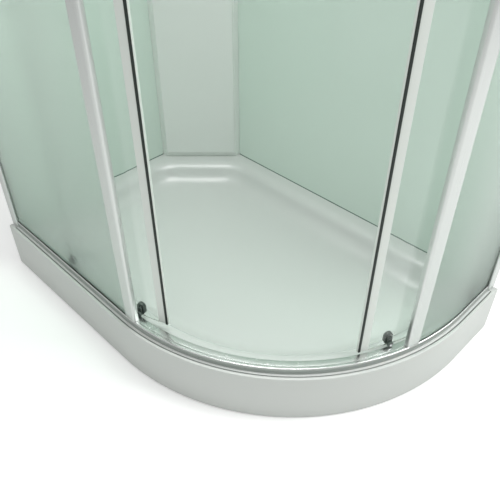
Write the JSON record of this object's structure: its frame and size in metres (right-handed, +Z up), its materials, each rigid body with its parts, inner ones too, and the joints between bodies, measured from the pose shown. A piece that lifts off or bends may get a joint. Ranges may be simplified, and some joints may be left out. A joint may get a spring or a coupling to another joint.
{
  "type": "quadrant shower enclosure",
  "caption": "Offset quadrant shower enclosure: low tray with curved skirt, glass back walls, corner column and two curved sliding doors.",
  "frame": {"origin": "middle of the tray's 1200 x 800 mm plan at floor level", "axes": "+Z up, X along the long wall, long glass wall at +Y, short glass wall at -X, curved front towards +X -Y"},
  "size_m": [1.2, 0.8, 2],
  "materials": {
    "white_acrylic": "gloss",
    "white_panel": "gloss",
    "grey_board": "matte",
    "bracket_plastic": "matte",
    "galvanised_steel": "satin",
    "zinc_steel": "satin",
    "foot_plastic": "matte",
    "chrome": "polished",
    "trap_plastic": "matte",
    "wall_glass": "back-painted glass",
    "frosted_glass": "frosted",
    "clear_glass": "clear",
    "satin_aluminium": "satin anodised",
    "glazing_rubber": "matte",
    "seal_plastic": "translucent",
    "magnet_rubber": "satin",
    "clear_plastic": "translucent",
    "grey_plastic": "satin",
    "polished_metal": "polished",
    "wheel_nylon": "satin"
  },
  "bodies": {
    "enclosure": {"tray_basin": "white_acrylic", "base_board": "grey_board", "apron_panel": "white_acrylic", "apron_brackets": "bracket_plastic", "support_frame": "galvanised_steel", "leg_studs": "zinc_steel", "leg_nuts": "zinc_steel", "leg_feet": "foot_plastic", "waste_flange": "chrome", "waste_trap": "trap_plastic", "back_wall_glass": "wall_glass", "side_wall_glass": "wall_glass", "corner_column": "white_panel", "column_plate": "white_panel", "wall_profile_left": "satin_aluminium", "wall_profile_right": "satin_aluminium", "back_top_channel": "satin_aluminium", "side_top_channel": "satin_aluminium", "bottom_rail": "satin_aluminium", "top_rail": "satin_aluminium", "rail_infill": "satin_aluminium", "post_left": "satin_aluminium", "post_right": "satin_aluminium", "fixed_glass_left": "frosted_glass", "fixed_glass_right": "frosted_glass", "glazing_strips": "glazing_rubber", "rail_stops": "grey_plastic", "profile_screws": "zinc_steel"},
    "cover": {"drain_cover": "chrome"},
    "door_left": {"door_glass_left": "clear_glass", "seal_carrier_left": "seal_plastic", "magnet_strip_left": "magnet_rubber", "seal_lip_left": "seal_plastic", "drip_strip_left": "clear_plastic", "bottom_roller_bodies_left": "grey_plastic", "top_roller_bodies_left": "grey_plastic", "roller_axles_left": "polished_metal", "handle_left": "polished_metal"},
    "bottom_wheel_left_1_body": {"bottom_wheel_left_1": "wheel_nylon"},
    "top_wheel_left_1_body": {"top_wheel_left_1": "wheel_nylon"},
    "release_button_left_1_body": {"release_button_left_1": "polished_metal"},
    "bottom_wheel_left_2_body": {"bottom_wheel_left_2": "wheel_nylon"},
    "top_wheel_left_2_body": {"top_wheel_left_2": "wheel_nylon"},
    "release_button_left_2_body": {"release_button_left_2": "polished_metal"},
    "door_right": {"door_glass_right": "clear_glass", "seal_carrier_right": "seal_plastic", "magnet_strip_right": "magnet_rubber", "seal_lip_right": "seal_plastic", "drip_strip_right": "clear_plastic", "bottom_roller_bodies_right": "grey_plastic", "top_roller_bodies_right": "grey_plastic", "roller_axles_right": "polished_metal", "handle_right": "polished_metal"},
    "bottom_wheel_right_1_body": {"bottom_wheel_right_1": "wheel_nylon"},
    "top_wheel_right_1_body": {"top_wheel_right_1": "wheel_nylon"},
    "release_button_right_1_body": {"release_button_right_1": "polished_metal"},
    "bottom_wheel_right_2_body": {"bottom_wheel_right_2": "wheel_nylon"},
    "top_wheel_right_2_body": {"top_wheel_right_2": "wheel_nylon"},
    "release_button_right_2_body": {"release_button_right_2": "polished_metal"}
  },
  "joints": [
    {"name": "cover_lift", "type": "slide", "parent": "enclosure", "child": "cover", "axis": [0, 0, 1], "range_m": [0, 0.06]},
    {"name": "door_left_travel", "type": "hinge", "parent": "enclosure", "child": "door_left", "pos_m": [-0.16584, 0.75818, 1], "axis": [0, 0, 1], "range_deg": [0, 12.43]},
    {"name": "bottom_wheel_left_1_spin", "type": "hinge", "parent": "door_left", "child": "bottom_wheel_left_1_body", "pos_m": [0.00869, -0.35836, 0.176], "axis": [0.2627, -0.9649, 0], "range_deg": [-1776, 20]},
    {"name": "top_wheel_left_1_spin", "type": "hinge", "parent": "door_left", "child": "top_wheel_left_1_body", "pos_m": [0.00856, -0.35788, 1.982], "axis": [0.2627, -0.9649, 0], "range_deg": [-1580.2, 20]},
    {"name": "release_button_left_1_press", "type": "slide", "parent": "door_left", "child": "release_button_left_1_body", "axis": [0.2627, -0.9649, 0], "range_m": [0, 0.0018], "stiffness_N_per_m": 300},
    {"name": "bottom_wheel_left_2_spin", "type": "hinge", "parent": "door_left", "child": "bottom_wheel_left_2_body", "pos_m": [-0.29812, -0.35952, 0.176], "axis": [-0.2553, -0.9669, 0], "range_deg": [-1768.9, 20]},
    {"name": "top_wheel_left_2_spin", "type": "hinge", "parent": "door_left", "child": "top_wheel_left_2_body", "pos_m": [-0.29799, -0.35904, 1.982], "axis": [-0.2553, -0.9669, 0], "range_deg": [-1573.9, 20]},
    {"name": "release_button_left_2_press", "type": "slide", "parent": "door_left", "child": "release_button_left_2_body", "axis": [-0.2553, -0.9669, 0], "range_m": [0, 0.0018], "stiffness_N_per_m": 300},
    {"name": "door_right_travel", "type": "hinge", "parent": "enclosure", "child": "door_right", "pos_m": [-0.05558, 0.23959, 1], "axis": [0, 0, -1], "range_deg": [0, 22.73]},
    {"name": "bottom_wheel_right_1_spin", "type": "hinge", "parent": "door_right", "child": "bottom_wheel_right_1_body", "pos_m": [0.51641, 0.00796, 0.176], "axis": [0.9196, -0.3928, 0], "range_deg": [-20, 1773.3]},
    {"name": "top_wheel_right_1_spin", "type": "hinge", "parent": "door_right", "child": "top_wheel_right_1_body", "pos_m": [0.51595, 0.00816, 1.982], "axis": [0.9196, -0.3928, 0], "range_deg": [-20, 1577.2]},
    {"name": "release_button_right_1_press", "type": "slide", "parent": "door_right", "child": "release_button_right_1_body", "axis": [0.9196, -0.3928, 0], "range_m": [0, 0.0018], "stiffness_N_per_m": 300},
    {"name": "bottom_wheel_right_2_spin", "type": "hinge", "parent": "door_right", "child": "bottom_wheel_right_2_body", "pos_m": [0.55974, 0.3117, 0.176], "axis": [0.9928, 0.12, 0], "range_deg": [-20, 1780.2]},
    {"name": "top_wheel_right_2_spin", "type": "hinge", "parent": "door_right", "child": "top_wheel_right_2_body", "pos_m": [0.55924, 0.31164, 1.982], "axis": [0.9928, 0.12, 0], "range_deg": [-20, 1583.3]},
    {"name": "release_button_right_2_press", "type": "slide", "parent": "door_right", "child": "release_button_right_2_body", "axis": [0.9928, 0.12, 0], "range_m": [0, 0.0018], "stiffness_N_per_m": 300}
  ],
  "couplings": [
    {"joint": "bottom_wheel_left_1_spin", "follows": "door_left_travel", "ratio": -141.26},
    {"joint": "top_wheel_left_1_spin", "follows": "door_left_travel", "ratio": -125.51},
    {"joint": "bottom_wheel_left_2_spin", "follows": "door_left_travel", "ratio": -140.69},
    {"joint": "top_wheel_left_2_spin", "follows": "door_left_travel", "ratio": -125},
    {"joint": "bottom_wheel_right_1_spin", "follows": "door_right_travel", "ratio": 77.139},
    {"joint": "top_wheel_right_1_spin", "follows": "door_right_travel", "ratio": 68.512},
    {"joint": "bottom_wheel_right_2_spin", "follows": "door_right_travel", "ratio": 77.442},
    {"joint": "top_wheel_right_2_spin", "follows": "door_right_travel", "ratio": 68.781}
  ]
}
